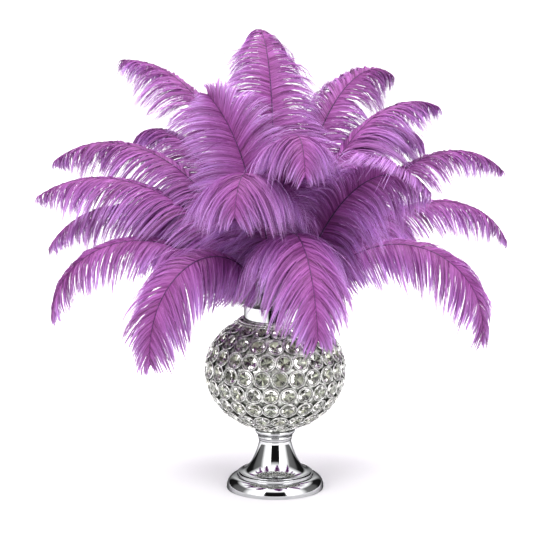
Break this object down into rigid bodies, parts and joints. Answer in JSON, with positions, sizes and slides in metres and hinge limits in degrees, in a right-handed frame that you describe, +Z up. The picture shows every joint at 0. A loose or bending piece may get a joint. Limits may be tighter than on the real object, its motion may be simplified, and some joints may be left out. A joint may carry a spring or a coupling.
{
  "type": "ostrich feather bouquet in a crystal globe vase",
  "caption": "Round bouquet of orchid-purple ostrich feathers arching out of an oval globe vase set with round crystals in wire rings, on a turned chrome pedestal foot.",
  "frame": {"origin": "centre of the pedestal's flat underside", "axes": "+Z up along the vase's axis; -Y towards the front, where the lowest feather hangs over the globe; +X to the viewer's right"},
  "size_m": [0.5019, 0.4551, 0.4754],
  "materials": {
    "polished_chrome": "mirror-bright chrome plate",
    "crystal": "round faceted clear crystals in bright silver wire rings on a silvered shell",
    "floral_foam": "crumbly open-cell foam",
    "orchid_feather": "dyed ostrich plume, soft and silky, with a darker rachis"
  },
  "bodies": {
    "root": {"foot_base": "polished_chrome", "foot_stem": "polished_chrome", "foot_cup": "polished_chrome", "crystal_globe": "crystal", "neck_collar": "polished_chrome", "foam_plug": "floral_foam", "low_feather_1": "orchid_feather", "low_feather_2": "orchid_feather", "low_feather_3": "orchid_feather", "low_feather_4": "orchid_feather", "low_feather_5": "orchid_feather", "low_feather_6": "orchid_feather", "low_feather_7": "orchid_feather", "low_feather_8": "orchid_feather", "low_feather_9": "orchid_feather", "low_feather_10": "orchid_feather", "middle_feather_1": "orchid_feather", "middle_feather_2": "orchid_feather", "middle_feather_3": "orchid_feather", "middle_feather_4": "orchid_feather", "middle_feather_5": "orchid_feather", "middle_feather_6": "orchid_feather", "middle_feather_7": "orchid_feather", "middle_feather_8": "orchid_feather", "middle_feather_9": "orchid_feather", "middle_feather_10": "orchid_feather", "top_feather_1": "orchid_feather", "top_feather_2": "orchid_feather", "top_feather_3": "orchid_feather", "top_feather_4": "orchid_feather", "top_feather_5": "orchid_feather", "top_feather_6": "orchid_feather"}
  },
  "joints": []
}
